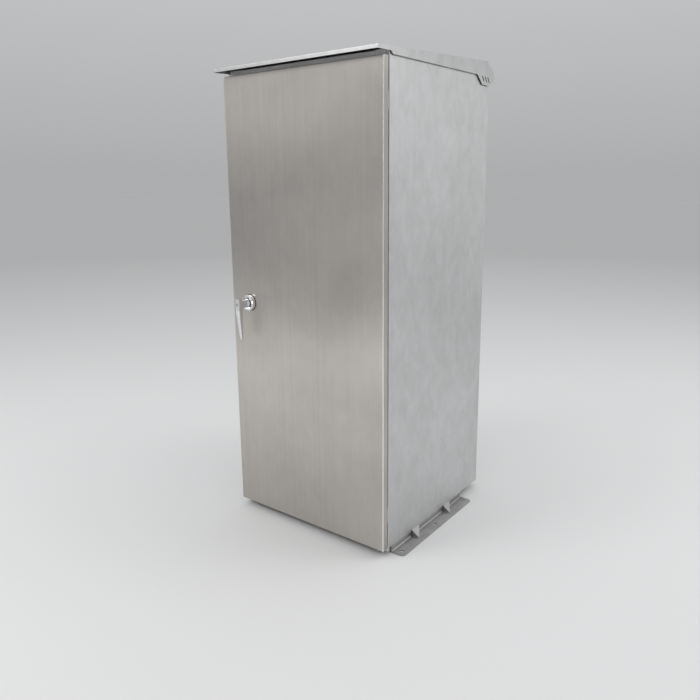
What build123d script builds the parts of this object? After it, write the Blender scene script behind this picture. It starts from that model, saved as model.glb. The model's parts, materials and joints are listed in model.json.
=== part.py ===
from build123d import *
import os
from math import cos, pi, radians, sin

# Outdoor rack cabinet of folded stainless sheet: shell, door, latch, rain hood, feet, rack and fans.
# +X is to the right seen from the front, +Y to the back, +Z up. The origin is on the floor, midway
# between the four corner bolts of the feet. Lengths are in millimetres.

# Overall sizes
CABINET_WIDTH = 600.0
SHELL_DEPTH = 568.0
DOOR_HEIGHT = 1386.0
DOOR_DEPTH = 21.5
DOOR_GAP = 5.0
FOOT_HEIGHT = 24.0
SHEET = 1.5
BEND = 1.75  # bend radius at the middle of the sheet
CUT = 20.0  # how far a cut runs past the face that it opens

# Door frame folded into the shell's front
FRAME_FLANGE = 44.0
GUTTER_LIP = 12.0
REAR_FLANGE = 30.0
HEADER_RETURN = 25.0
SILL_DROP = 12.0
SILL_EAR = 7.0
BACK_TOP_GAP = 30.0
BACK_RETURN = 15.0

# Rain hood
HOOD_OVERHANG = 59.5
HOOD_SIDE_GAP = 5.3
HOOD_ABOVE_DOOR = 18.9
HOOD_FASCIA = 10.5
HOOD_RISE = 47.7
HOOD_RIDGE_SETBACK = 25.2
HOOD_REAR_OVERHANG = 22.5
HOOD_REAR_CHAMFER = 28.0
HOOD_REAR_WALL = 29.0
HOOD_HOOK_DROP = 17.0
HOOD_HOOK_REACH = 34.0
HOOD_HOOK_FLAT = 47.0
HOOD_HOOK_SLOPE = 34.0
HOOD_FLAP_FRONT = 20.0
HOOD_FLAP_REAR = 43.0
HOOD_STEP = 9.0
HOOD_BACK_GAP = 5.0
HOOD_BEND = 2.5
ROOF_GAP = 4.0
FLAP_LAP = 6.0
VENT_WIDTH = 5.0
VENT_LENGTH = 22.0
VENT_PITCH = 19.0
VENT_COUNT = 3
VENT_TILT = -47.0
VENT_ABOVE_HOOK = 18.0
CARRIER_SHEET = 2.0
CARRIER_FLANGE = 25.0
CARRIER_BEND = 3.0
CARRIER_INSET = 90.0
CARRIER_END_GAP = 30.0

# Top plate, floor plate and cable entry
TOP_DROP = 24.0
PAN_FLANGE = 18.0
ENTRY_WIDTH = 300.0
ENTRY_DEPTH = 70.0
ENTRY_FROM_BACK = 110.0
ENTRY_MARGIN = 30.0
ENTRY_RIM = 12.0
PLATE = 2.0
EDGING = 8.0
EDGING_LIP = 4.0
EDGING_DROP = 4.0
INTAKE_WIDTH = 320.0
INTAKE_DEPTH = 160.0
INTAKE_FROM_FRONT = 160.0
INTAKE_SLOT = 8.0
INTAKE_ROWS = 8
INTAKE_COLUMNS = 2

# Feet
BOLT_COUNT = 3
BOLT_PITCH = 195.0
BOLT_SETBACK = 40.0
BOLT_HOLE_RADIUS = 6.0
BOLT_FROM_WEB = 25.5
FOOT_PLATE = 4.0
FOOT_FLANGE = 43.5
FOOT_LEG = 40.0
FOOT_END = 20.0
FOOT_BEND = 6.0
FOOT_CORNER = 12.0
GUSSET_REACH = 28.0
GUSSET_LENGTH = 44.0
GUSSET_CLIP = 6.0
GUSSET_LEAD = 6.0

# Hinges
HINGE_INSET = 8.0
HINGE_AHEAD = 18.0
HINGE_FROM_END = 109.0
KNUCKLE_RADIUS = 4.5
KNUCKLE_HEIGHT = 30.0
PIN_RADIUS = 2.5
PIN_HEAD_RADIUS = 4.0
PIN_HEAD = 2.0
RUNNING_CLEARANCE = 0.05
EAR_HEIGHT = 12.0
EAR_GAP = 0.3
LEAF = 4.0
LEAF_BEND = 3.0
LEAF_ARM_FROM_AXIS = 20.5
LEAF_FOOT = 14.0
EAR_PLATE = 1.5
EAR_PLATE_WIDTH = 12.0
TAB_DEPTH = 2.5
TAB_BASE = 58.0
TAB_TIP = 34.0

# Door seal and stiffeners
GASKET_WIDTH = 16.0
GASKET_ROUND = 4.0
GASKET_GAP = 0.3
STIFFENER_WIDTH = 40.0
STIFFENER_DEPTH = 22.0
STIFFENER_FLANGE = 14.0
STIFFENER_FROM_MIDDLE = 115.0
STIFFENER_END_GAP = 28.0

# Latch
LOCK_FROM_EDGE = 78.0
LOCK_HEIGHT = 697.0
LOCK_HOLE_RADIUS = 12.0
SLEEVE_RADIUS = 11.5
SLEEVE_LENGTH = 12.0
ROSETTE_RADIUS = 25.5
ROSETTE_HEIGHT = 15.0
ROSETTE_CHAMFER = 3.0
CUP_RADIUS = 19.0
CUP_FLOOR = 5.0
NUT_FLATS = 32.0
NUT_HEIGHT = 6.0
SPINDLE_RADIUS = 8.0
SPINDLE_SQUARE = 10.0
SPINDLE_SHOULDER = 15.0
LEVER_STAND_OFF = 48.0
LEVER_TIP_DROP = 6.0
LEVER_LENGTH = 112.0
LEVER_HEAD = 18.0
LEVER_WIDTH = 18.0
LEVER_DEPTH = 16.0
LEVER_TIP_WIDTH = 8.5
LEVER_TIP_DEPTH = 8.0
LEVER_CORNER = 3.0
NECK_RADIUS = 15.5
NECK_COLLAR = 11.0
NECK_HEIGHT = 26.0
NECK_CORNER = 5.0
NECK_GAP = 0.5
PLUG_RADIUS = 5.5
PLUG_DEPTH = 14.0
PLUG_PROUD = 0.3
KEY_SLOT = 1.6
KEY_SLOT_LENGTH = 7.0
KEY_SLOT_DEPTH = 4.0
CAM_PLATE = 4.0
CAM_FROM_DOOR = 20.0
CAM_HUB_RADIUS = 13.0
CAM_PIN_CIRCLE = 18.0
CAM_PIN_RADIUS = 3.0
CAM_PIN_LENGTH = 10.0
CAM_EYE_RADIUS = 7.0
CAM_START = -45.0
SCREW_RADIUS = 7.5
SCREW_HEIGHT = 3.0
ROD_WIDTH = 10.0
ROD_THICKNESS = 4.0
ROD_BEHIND_FRAME = 1.5
ROD_CLEAR = 6.0
ROD_CHAMFER = 2.5
YOKE_WALL = 4.0
YOKE_SIDE_PLAY = 0.4
YOKE_LIFT_PLAY = 0.8
GUIDE_PLAY = 0.3
GUIDE_WALL = 3.0
GUIDE_HEIGHT = 16.0
GUIDE_FROM_LOCK = 200.0
GUIDE_FROM_END = 60.0

# Rack
RACK_PITCH = 44.45
RACK_HOLE = 9.5
RACK_HOLE_FROM_EDGE = 7.55
RACK_HOLE_SHARES = (1 / 7, 0.5, 6 / 7)
RAIL_SHEET = 2.0
RAIL_FLANGE = 37.0
RAIL_WEB = 45.0
RAIL_BEND = 3.0
RAIL_FROM_FRONT = 90.0
RAIL_FROM_BACK = 78.0
RAIL_FROM_SIDE = 38.0
RAIL_ABOVE_FLOOR = 70.0
RAIL_BELOW_FANS = 60.0
BRACE_HEIGHT = 40.0
BRACE_SHEET = 2.0
BRACE_BEND = 3.0
BRACE_END_GAP = 35.0
BRACE_SHARES = {"lower": 0.08, "middle": 0.5, "upper": 0.92}

# Fans
FAN_SIZE = 119.0
FAN_DEPTH = 38.0
FAN_CORNER = 6.0
FAN_BORE_RADIUS = 57.5
FAN_SPACING = 220.0
FAN_STRUT = 4.0
FAN_BASE = 5.0
FAN_HUB_RADIUS = 26.0
FAN_PIN_RADIUS = 3.0
FAN_PIN_LENGTH = 18.0
FAN_HUB_GAP = 1.0
FAN_HUB_HEIGHT = 27.0
FAN_TIP_GAP = 2.0
FAN_BLADES = 7
FAN_CHORD = 30.0
FAN_BLADE = 2.0
FAN_ROOT_ANGLE = 38.0
FAN_TIP_ANGLE = 24.0
GUARD_WIRE = 2.5
GUARD_SPAN = 152.0
GUARD_BAR_ANGLE = 45.0
GUARD_RING_SHARES = (0.3, 0.62, 0.94)

# Earth stud
STUD_RADIUS = 4.0
STUD_HEIGHT = 30.0
STUD_NUT_FLATS = 13.0
STUD_NUT_HEIGHT = 6.5
STUD_FROM_SIDE = 60.0
STUD_FROM_FRONT = 60.0

# Places worked out from the sizes above
half_width = CABINET_WIDTH / 2
side_inner = half_width - SHEET
shell_front = -(BOLT_PITCH + BOLT_SETBACK)
shell_back = shell_front + SHELL_DEPTH
frame_mid = shell_front + SHEET / 2
frame_rear = shell_front + SHEET
back_inner = shell_back - 2 * SHEET
door_rear = shell_front - DOOR_GAP
door_front = door_rear - DOOR_DEPTH
door_inner = door_front + SHEET
door_bottom = FOOT_HEIGHT
door_top = door_bottom + DOOR_HEIGHT
lip_edge = shell_front - GUTTER_LIP
lip_outer = half_width - FRAME_FLANGE
lip_inner = lip_outer - SHEET
opening_top = door_top - FRAME_FLANGE - SHEET
opening_bottom = door_bottom + FRAME_FLANGE + SHEET
sill_bottom = door_bottom - SILL_DROP
bend_outside = BEND + SHEET / 2
bend_inside = BEND - SHEET / 2

hood_front = shell_front - HOOD_OVERHANG
hood_front_top = door_top + HOOD_ABOVE_DOOR
ridge_y = shell_back - HOOD_RIDGE_SETBACK
ridge_z = hood_front_top + HOOD_RISE
hood_slope = HOOD_RISE / (ridge_y - hood_front)
hood_rear = shell_back + HOOD_REAR_OVERHANG
hood_half = half_width + HOOD_SIDE_GAP
hood_wall_top = ridge_z - HOOD_REAR_CHAMFER
hood_wall_bottom = hood_wall_top - HOOD_REAR_WALL
hook_z = hood_wall_bottom - HOOD_HOOK_DROP
hook_rear = hood_rear - HOOD_HOOK_REACH
hook_front = hook_rear - HOOD_HOOK_FLAT
flap_rear = hook_front - HOOD_HOOK_SLOPE
flap_front_y = shell_front + HOOD_STEP

header_top = hood_front_top + hood_slope * HOOD_OVERHANG - SHEET - ROOF_GAP
top_plate_top = header_top - TOP_DROP
top_plate_under = top_plate_top - SHEET
floor_top = door_bottom + SHEET
lock_x = LOCK_FROM_EDGE - half_width
lock_z = door_bottom + LOCK_HEIGHT
hinge_x = half_width - HINGE_INSET
hinge_y = shell_front - HINGE_AHEAD
hinge_heights = {"upper": door_top - HINGE_FROM_END, "lower": door_bottom + HINGE_FROM_END}

os.makedirs("parts", exist_ok=True)


def keep(builder, name):
    """Label a finished piece and write it."""
    builder.part.label = name
    export_step(builder.part, f"parts/{name}.step")


def block(low, high, mode=Mode.ADD):
    """A box between two opposite corners."""
    size = [b - a for a, b in zip(low, high)]
    middle = tuple((a + b) / 2 for a, b in zip(low, high))
    with Locations(middle):
        Box(*size, mode=mode)


def strip(plane, points, thickness, bend):
    """The section of a folded sheet, from the line along the middle of the sheet."""
    with BuildSketch(plane) as section:
        with BuildLine():
            FilletPolyline(*points, radius=bend)
        trace(line_width=thickness)
    return section.sketch


def outline(plane, points):
    """A face bounded by straight lines through the points."""
    with BuildSketch(plane) as section:
        with BuildLine():
            Polyline(*points, close=True)
        make_face()
    return section.sketch


def facing_front(y):
    """A plane across the cabinet that faces the front, with X to the right and Z up."""
    return Plane.XZ.offset(-y)


def roof_top(y):
    """Height of the hood's outer face between its front edge and its ridge."""
    return hood_front_top + hood_slope * (y - hood_front)


def flap_edge(y):
    """Height of the lower edge of the hood's side flaps."""
    share = (y - flap_front_y) / (flap_rear - flap_front_y)
    return roof_top(y) - HOOD_FLAP_FRONT - share * (HOOD_FLAP_REAR - HOOD_FLAP_FRONT)


def mirrored(builder, name):
    """The same piece on the left."""
    with BuildPart() as twin:
        mirror(builder.part, about=Plane.YZ)
    keep(twin, name)


# Side panels, each folded with the door frame's flange and gutter lip at the front
with BuildPart() as side_panel:
    side_mid = half_width - SHEET / 2
    lip_mid = lip_outer - SHEET / 2
    side_line = (
        (lip_mid, lip_edge),
        (lip_mid, frame_mid),
        (side_mid, frame_mid),
        (side_mid, shell_back - SHEET / 2),
        (half_width - REAR_FLANGE, shell_back - SHEET / 2),
    )
    extrude(strip(Plane.XY.offset(sill_bottom), side_line, SHEET, BEND), amount=ridge_z - sill_bottom)
    above = (
        (lip_edge - CUT, header_top),
        (flap_front_y, header_top),
        (flap_rear, flap_edge(flap_rear) + FLAP_LAP),
        (hook_front, hook_z + FLAP_LAP),
        (shell_back + CUT, hook_z + FLAP_LAP),
        (shell_back + CUT, ridge_z + CUT),
        (lip_edge - CUT, ridge_z + CUT),
    )
    extrude(outline(Plane.YZ, above), amount=half_width + CUT, mode=Mode.SUBTRACT)
    for low, high in ((sill_bottom - CUT, opening_bottom), (opening_top, ridge_z + CUT)):
        block((lip_inner - CUT, lip_edge - CUT, low), (lip_outer, frame_rear + CUT, high), Mode.SUBTRACT)
    block(
        (0, shell_front + SILL_EAR, sill_bottom - CUT),
        (half_width + CUT, shell_back + CUT, door_bottom),
        Mode.SUBTRACT,
    )
keep(side_panel, "side_panel_right")
mirrored(side_panel, "side_panel_left")

# Back panel, folded forward at its top edge
with BuildPart() as back_panel:
    back_mid = back_inner + SHEET / 2
    back_top = ridge_z - BACK_TOP_GAP
    back_line = ((back_mid, door_bottom), (back_mid, back_top), (back_mid - BACK_RETURN, back_top))
    extrude(strip(Plane.YZ, back_line, SHEET, BEND), amount=side_inner - bend_inside, both=True)
keep(back_panel, "back_panel")

# Front header with its gutter lip
with BuildPart() as front_header:
    header_lip = opening_top + SHEET / 2
    header_return = header_top - SHEET / 2
    header_line = (
        (lip_edge, header_lip),
        (frame_mid, header_lip),
        (frame_mid, header_return),
        (shell_front + HEADER_RETURN, header_return),
    )
    extrude(strip(Plane.YZ, header_line, SHEET, BEND), amount=lip_outer, both=True)
keep(front_header, "front_header")

# Front sill, which hangs below the door
with BuildPart() as front_sill:
    sill_lip = opening_bottom - SHEET / 2
    sill_line = ((lip_edge, sill_lip), (frame_mid, sill_lip), (frame_mid, sill_bottom))
    extrude(strip(Plane.YZ, sill_line, SHEET, BEND), amount=lip_outer, both=True)
keep(front_sill, "front_sill")

fan_y = (shell_front + shell_back) / 2
fan_places = {"left": -FAN_SPACING / 2, "right": FAN_SPACING / 2}

# Top plate, a pan with its flanges down and a hole over each fan
with BuildPart() as top_plate:
    block((-side_inner, frame_rear, top_plate_top - PAN_FLANGE), (side_inner, back_inner, top_plate_top))
    fillet(edges().filter_by(Axis.Z), radius=bend_outside)
    offset(amount=-SHEET, openings=faces().sort_by(Axis.Z)[0])
    with BuildSketch(Plane.XY.offset(top_plate_top)):
        with Locations(*[(x, fan_y) for x in fan_places.values()]):
            Circle(FAN_BORE_RADIUS)
    extrude(amount=-2 * SHEET, mode=Mode.SUBTRACT)
keep(top_plate, "top_plate")

entry_y = shell_back - ENTRY_FROM_BACK
intake_y = shell_front + INTAKE_FROM_FRONT

# Floor plate, a pan with its flanges up, open for the cables and for the air
with BuildPart() as floor_plate:
    block((-side_inner, frame_rear, door_bottom), (side_inner, back_inner, door_bottom + PAN_FLANGE))
    fillet(edges().filter_by(Axis.Z), radius=bend_outside)
    offset(amount=-SHEET, openings=faces().sort_by(Axis.Z)[-1])
    with BuildSketch(Plane.XY.offset(floor_top)):
        with Locations((0, entry_y)):
            Rectangle(ENTRY_WIDTH + 2 * ENTRY_RIM, ENTRY_DEPTH + 2 * ENTRY_RIM)
        with Locations((0, intake_y)):
            Rectangle(INTAKE_WIDTH, INTAKE_DEPTH)
    extrude(amount=-2 * SHEET, mode=Mode.SUBTRACT)
keep(floor_plate, "floor_plate")

# Gland plate over the cable opening
with BuildPart() as gland_plate:
    with BuildSketch(Plane.XY.offset(floor_top)):
        with Locations((0, entry_y)):
            Rectangle(ENTRY_WIDTH + 2 * ENTRY_MARGIN, ENTRY_DEPTH + 2 * ENTRY_MARGIN)
            Rectangle(ENTRY_WIDTH, ENTRY_DEPTH, mode=Mode.SUBTRACT)
    extrude(amount=PLATE)
keep(gland_plate, "gland_plate")

# Rubber edging round the slot of the gland plate
with BuildPart() as cable_edging:
    with BuildSketch(Plane.XY.offset(floor_top + PLATE)):
        with Locations((0, entry_y)):
            Rectangle(ENTRY_WIDTH + EDGING, ENTRY_DEPTH + EDGING)
    extrude(amount=EDGING_LIP)
    with BuildSketch(Plane.XY.offset(floor_top + PLATE)):
        with Locations((0, entry_y)):
            Rectangle(ENTRY_WIDTH, ENTRY_DEPTH)
    extrude(amount=-(PLATE + EDGING_DROP))
    with BuildSketch(Plane.XY.offset(floor_top + PLATE + EDGING_LIP)):
        with Locations((0, entry_y)):
            Rectangle(ENTRY_WIDTH - EDGING, ENTRY_DEPTH - EDGING)
    extrude(amount=-(PLATE + EDGING_DROP + EDGING_LIP), mode=Mode.SUBTRACT)
keep(cable_edging, "cable_edging")

# Slotted air intake in the floor
with BuildPart() as intake_grille:
    with BuildSketch(Plane.XY.offset(floor_top)):
        with Locations((0, intake_y)):
            Rectangle(INTAKE_WIDTH + ENTRY_RIM, INTAKE_DEPTH + ENTRY_RIM)
        row_pitch = INTAKE_DEPTH / INTAKE_ROWS
        column_pitch = INTAKE_WIDTH / INTAKE_COLUMNS
        with Locations((0, intake_y)):
            with GridLocations(column_pitch, row_pitch, INTAKE_COLUMNS, INTAKE_ROWS):
                Rectangle(column_pitch - 2 * INTAKE_SLOT, INTAKE_SLOT, mode=Mode.SUBTRACT)
    extrude(amount=SHEET)
keep(intake_grille, "intake_grille")

# Rain hood: sloping skin, side flaps and a hooked vent at the back
with BuildPart() as rain_hood:
    hood_line = (
        (hood_front, hood_front_top),
        (ridge_y, ridge_z),
        (hood_rear, hood_wall_top),
        (hood_rear, hood_wall_bottom),
        (hook_rear, hook_z),
        (hook_front, hook_z),
        (flap_rear, flap_edge(flap_rear)),
        (flap_front_y, flap_edge(flap_front_y)),
        (shell_front, roof_top(shell_front) - HOOD_FASCIA - SHEET),
        (hood_front, hood_front_top - HOOD_FASCIA),
    )
    extrude(outline(Plane.YZ, hood_line), amount=hood_half, both=True)
    folds = edges().filter_by(Axis.X).sort_by(Axis.Z)
    fillet(folds[-3:], radius=HOOD_BEND)
    underside = faces().filter_by(lambda face: face.normal_at().Z < 0).sort_by(Axis.Y)[:-1]
    offset(amount=-SHEET, openings=underside)
    hood_inner = hood_half - SHEET
    block(
        (-hood_inner, hook_front, hook_z - CUT),
        (hood_inner, shell_back + HOOD_BACK_GAP, hood_wall_bottom),
        Mode.SUBTRACT,
    )
    vent_middle = (hook_front + hook_rear) / 2
    with BuildSketch(Plane.YZ.offset(-hood_half - CUT)):
        with Locations((vent_middle, hook_z + VENT_ABOVE_HOOK)):
            with GridLocations(VENT_PITCH, VENT_PITCH, VENT_COUNT, 1):
                SlotOverall(VENT_LENGTH, VENT_WIDTH, rotation=VENT_TILT)
    extrude(amount=2 * (hood_half + CUT), mode=Mode.SUBTRACT)
keep(rain_hood, "rain_hood")

# Carriers that hold the hood off the top plate
carrier_half = side_inner - CARRIER_END_GAP
carrier_places = {"front": shell_front + CARRIER_INSET, "rear": shell_back - CARRIER_INSET}
for place, y in carrier_places.items():
    with BuildPart() as hood_carrier:
        hood_under = SHEET / cos(hood_slope)
        foot_mid = top_plate_top + CARRIER_SHEET / 2
        top_drop = hood_under + CARRIER_SHEET / 2 / cos(hood_slope)
        carrier_line = (
            (y - CARRIER_FLANGE, foot_mid),
            (y, foot_mid),
            (y, roof_top(y) - top_drop),
            (y + CARRIER_FLANGE, roof_top(y + CARRIER_FLANGE) - top_drop),
        )
        extrude(strip(Plane.YZ, carrier_line, CARRIER_SHEET, CARRIER_BEND), amount=carrier_half, both=True)
    keep(hood_carrier, f"hood_carrier_{place}")

# Feet, folded to a Z under the shell's sides, with three bolt holes each
foot_end = BOLT_PITCH + FOOT_END
web_mid = side_inner - FOOT_PLATE / 2
with BuildPart() as foot:
    foot_line = (
        (side_inner - FOOT_LEG, door_bottom - FOOT_PLATE / 2),
        (web_mid, door_bottom - FOOT_PLATE / 2),
        (web_mid, FOOT_PLATE / 2),
        (side_inner + FOOT_FLANGE, FOOT_PLATE / 2),
    )
    extrude(strip(Plane.XZ, foot_line, FOOT_PLATE, FOOT_BEND), amount=foot_end, both=True)
    fillet(edges().filter_by(Axis.Z).group_by(Axis.X)[-1], radius=FOOT_CORNER)
    with BuildSketch(Plane.XY):
        with Locations((side_inner + BOLT_FROM_WEB, 0)):
            with GridLocations(BOLT_PITCH, BOLT_PITCH, 1, BOLT_COUNT):
                Circle(BOLT_HOLE_RADIUS)
    extrude(amount=FOOT_PLATE, mode=Mode.SUBTRACT)
keep(foot, "foot_right")
mirrored(foot, "foot_left")

# Gussets welded between web and flange, cut away slantwise towards the back
with BuildPart() as gussets:
    gusset_line = (
        (side_inner, door_bottom),
        (side_inner, FOOT_PLATE + GUSSET_CLIP),
        (side_inner + GUSSET_CLIP, FOOT_PLATE),
        (side_inner + GUSSET_REACH, FOOT_PLATE),
    )
    for middle in (-BOLT_PITCH / 2, BOLT_PITCH / 2):
        front_y = middle - GUSSET_LEAD
        rear_y = front_y + GUSSET_LENGTH
        extrude(outline(facing_front(front_y), gusset_line), amount=-GUSSET_LENGTH)
        beyond = (
            (side_inner + GUSSET_REACH, front_y),
            (side_inner + GUSSET_REACH + CUT, front_y),
            (side_inner + GUSSET_REACH + CUT, rear_y),
            (side_inner, rear_y),
        )
        extrude(outline(Plane.XY, beyond), amount=FOOT_HEIGHT, mode=Mode.SUBTRACT)
keep(gussets, "foot_gussets_right")
mirrored(gussets, "foot_gussets_left")

# Door skin, a pan with a tab on its hinge flange at each hinge
with BuildPart() as door_skin:
    block((-half_width, door_front, door_bottom), (half_width, door_rear, door_top))
    fillet(faces().sort_by(Axis.Y)[0].edges(), radius=bend_outside)
    offset(amount=-SHEET, openings=faces().sort_by(Axis.Y)[-1])
    for z in hinge_heights.values():
        tab_line = (
            (door_rear, z - TAB_BASE / 2),
            (door_rear + TAB_DEPTH, z - TAB_TIP / 2),
            (door_rear + TAB_DEPTH, z + TAB_TIP / 2),
            (door_rear, z + TAB_BASE / 2),
        )
        extrude(outline(Plane.YZ.offset(side_inner), tab_line), amount=SHEET)
    with BuildSketch(facing_front(door_front)):
        with Locations((lock_x, lock_z)):
            Circle(LOCK_HOLE_RADIUS)
    extrude(amount=-2 * SHEET, mode=Mode.SUBTRACT)
keep(door_skin, "door_skin")

# Sealing strips with rounded crowns that close on the gutter lips, mitred at the corners
gasket_rear = lip_edge - GASKET_GAP
seal_x = lip_outer - SHEET / 2
seal_low = opening_bottom - SHEET / 2
seal_high = opening_top + SHEET / 2


def seal_corners(reach):
    """Corners of the seal's middle line, moved out by reach."""
    x, low, high = seal_x + reach, seal_low - reach, seal_high + reach
    return ((-x, low), (x, low), (x, high), (-x, high))


seal_outer = seal_corners(GASKET_WIDTH / 2)
seal_inner = seal_corners(-GASKET_WIDTH / 2)
seal_sides = (("bottom", Axis.X), ("right", Axis.Z), ("top", Axis.X), ("left", Axis.Z))
for start, (place, along) in enumerate(seal_sides):
    end = (start + 1) % len(seal_outer)
    with BuildPart() as gasket:
        mitred = (seal_outer[start], seal_outer[end], seal_inner[end], seal_inner[start])
        extrude(outline(facing_front(gasket_rear), mitred), amount=gasket_rear - door_inner)
        fillet(edges().filter_by(along).group_by(Axis.Y)[-1], radius=GASKET_ROUND)
    keep(gasket, f"door_gasket_{place}")

# Stiffeners of hat section on the door's inner face
stiffener_low = opening_bottom + STIFFENER_END_GAP
stiffener_high = opening_top - STIFFENER_END_GAP
for side, x in (("left", -STIFFENER_FROM_MIDDLE), ("right", STIFFENER_FROM_MIDDLE)):
    with BuildPart() as stiffener:
        foot_y = door_inner + SHEET / 2
        crown_y = door_inner + STIFFENER_DEPTH - SHEET / 2
        near, far = x - STIFFENER_WIDTH / 2, x + STIFFENER_WIDTH / 2
        hat_line = (
            (near - STIFFENER_FLANGE, foot_y),
            (near, foot_y),
            (near, crown_y),
            (far, crown_y),
            (far, foot_y),
            (far + STIFFENER_FLANGE, foot_y),
        )
        hat = strip(Plane.XY.offset(stiffener_low), hat_line, SHEET, BEND)
        extrude(hat, amount=stiffener_high - stiffener_low)
    keep(stiffener, f"door_stiffener_{side}")

# Hinges: a gooseneck leaf on the frame, an eared leaf on the door, and the pin between them
ear_start = KNUCKLE_HEIGHT / 2 + EAR_GAP
ear_end = ear_start + EAR_HEIGHT
flange_inner = half_width - SHEET
for place, z in hinge_heights.items():
    with BuildPart() as frame_leaf:
        leaf_low = Plane.XY.offset(z - KNUCKLE_HEIGHT / 2)
        arm_x = hinge_x - LEAF_ARM_FROM_AXIS
        leg_y = hinge_y - KNUCKLE_RADIUS + LEAF / 2
        foot_y = shell_front - LEAF / 2
        leaf_line = ((arm_x - LEAF_FOOT, foot_y), (arm_x, foot_y), (arm_x, leg_y), (hinge_x, leg_y))
        extrude(strip(leaf_low, leaf_line, LEAF, LEAF_BEND), amount=KNUCKLE_HEIGHT)
        with Locations((hinge_x, hinge_y, z)):
            Cylinder(KNUCKLE_RADIUS, KNUCKLE_HEIGHT)
            Cylinder(PIN_RADIUS + RUNNING_CLEARANCE, KNUCKLE_HEIGHT + CUT, mode=Mode.SUBTRACT)
    keep(frame_leaf, f"hinge_frame_leaf_{place}")

    with BuildPart() as door_leaf:
        block(
            (flange_inner - EAR_PLATE, hinge_y - EAR_PLATE_WIDTH / 2, z - ear_end),
            (flange_inner, hinge_y + EAR_PLATE_WIDTH / 2, z + ear_end),
        )
        for low, high in ((z - ear_end, z - ear_start), (z + ear_start, z + ear_end)):
            block(
                (hinge_x, hinge_y - KNUCKLE_RADIUS, low),
                (flange_inner, hinge_y + KNUCKLE_RADIUS, high),
            )
            with Locations((hinge_x, hinge_y, (low + high) / 2)):
                Cylinder(KNUCKLE_RADIUS, EAR_HEIGHT)
        with Locations((hinge_x, hinge_y, z)):
            Cylinder(PIN_RADIUS, 2 * ear_end + CUT, mode=Mode.SUBTRACT)
    keep(door_leaf, f"hinge_door_leaf_{place}")

    with BuildPart() as hinge_pin:
        with Locations((hinge_x, hinge_y, z)):
            Cylinder(PIN_RADIUS, 2 * ear_end)
        with Locations((hinge_x, hinge_y, z + ear_end + PIN_HEAD / 2)):
            Cylinder(PIN_HEAD_RADIUS, PIN_HEAD)
    keep(hinge_pin, f"hinge_pin_{place}")

# Latch rosette with its cup and the sleeve that passes through the door
lock_axis = Axis((lock_x, door_front, lock_z), (0, 1, 0))
lock_section = Plane(origin=(lock_x, door_front, lock_z), x_dir=(1, 0, 0), z_dir=(0, 0, 1))
with BuildPart() as latch_rosette:
    bore = SPINDLE_RADIUS + RUNNING_CLEARANCE
    rosette_line = (
        (bore, -CUP_FLOOR),
        (CUP_RADIUS, -CUP_FLOOR),
        (CUP_RADIUS, -ROSETTE_HEIGHT),
        (ROSETTE_RADIUS - ROSETTE_CHAMFER, -ROSETTE_HEIGHT),
        (ROSETTE_RADIUS, -ROSETTE_HEIGHT + ROSETTE_CHAMFER),
        (ROSETTE_RADIUS, 0),
        (SLEEVE_RADIUS, 0),
        (SLEEVE_RADIUS, SLEEVE_LENGTH),
        (bore, SLEEVE_LENGTH),
    )
    revolve(outline(lock_section, rosette_line), axis=lock_axis)
keep(latch_rosette, "latch_rosette")

# Nut that clamps the rosette from inside the door
with BuildPart() as latch_nut:
    with BuildSketch(facing_front(door_inner)):
        with Locations((lock_x, lock_z)):
            RegularPolygon(NUT_FLATS / 2, 6, major_radius=False)
            Circle(SLEEVE_RADIUS, mode=Mode.SUBTRACT)
    extrude(amount=-NUT_HEIGHT)
keep(latch_nut, "latch_nut")

# Lever handle: neck out of the cup, tapered arm that hangs down, and the spindle behind
cam_front = door_inner + CAM_FROM_DOOR
cam_rear = cam_front + CAM_PLATE
arm_y = door_front - LEVER_STAND_OFF
neck_start = door_front - CUP_FLOOR - NECK_GAP
plug_front = arm_y - LEVER_DEPTH / 2
with BuildPart() as latch_lever:
    with BuildSketch(facing_front(neck_start)):
        with Locations((lock_x, lock_z)):
            Circle(NECK_RADIUS)
    extrude(amount=NECK_COLLAR)
    with BuildSketch(facing_front(neck_start - NECK_COLLAR)):
        with Locations((lock_x, lock_z)):
            RectangleRounded(LEVER_WIDTH, NECK_HEIGHT, NECK_CORNER)
    extrude(amount=neck_start - NECK_COLLAR - arm_y)
    with BuildSketch(Plane.XY.offset(lock_z - LEVER_HEAD)):
        with Locations((lock_x, arm_y)):
            RectangleRounded(LEVER_WIDTH, LEVER_DEPTH, LEVER_CORNER)
    extrude(amount=2 * LEVER_HEAD)
    with BuildSketch(Plane.XY.offset(lock_z - LEVER_HEAD)):
        with Locations((lock_x, arm_y)):
            RectangleRounded(LEVER_WIDTH, LEVER_DEPTH, LEVER_CORNER)
    with BuildSketch(Plane.XY.offset(lock_z - LEVER_LENGTH)):
        with Locations((lock_x, arm_y + LEVER_TIP_DROP)):
            RectangleRounded(LEVER_TIP_WIDTH, LEVER_TIP_DEPTH, LEVER_CORNER)
    loft(ruled=True)
    shoulder_y = door_inner + SPINDLE_SHOULDER
    with BuildSketch(facing_front(shoulder_y)):
        with Locations((lock_x, lock_z)):
            Circle(SPINDLE_RADIUS)
    extrude(amount=shoulder_y - neck_start)
    with BuildSketch(facing_front(cam_rear)):
        with Locations((lock_x, lock_z)):
            Rectangle(SPINDLE_SQUARE, SPINDLE_SQUARE)
    extrude(amount=cam_rear - shoulder_y)
    with BuildSketch(facing_front(plug_front + PLUG_DEPTH)):
        with Locations((lock_x, lock_z)):
            Circle(PLUG_RADIUS + RUNNING_CLEARANCE)
    extrude(amount=PLUG_DEPTH + CUT, mode=Mode.SUBTRACT)
keep(latch_lever, "latch_lever")

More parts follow.
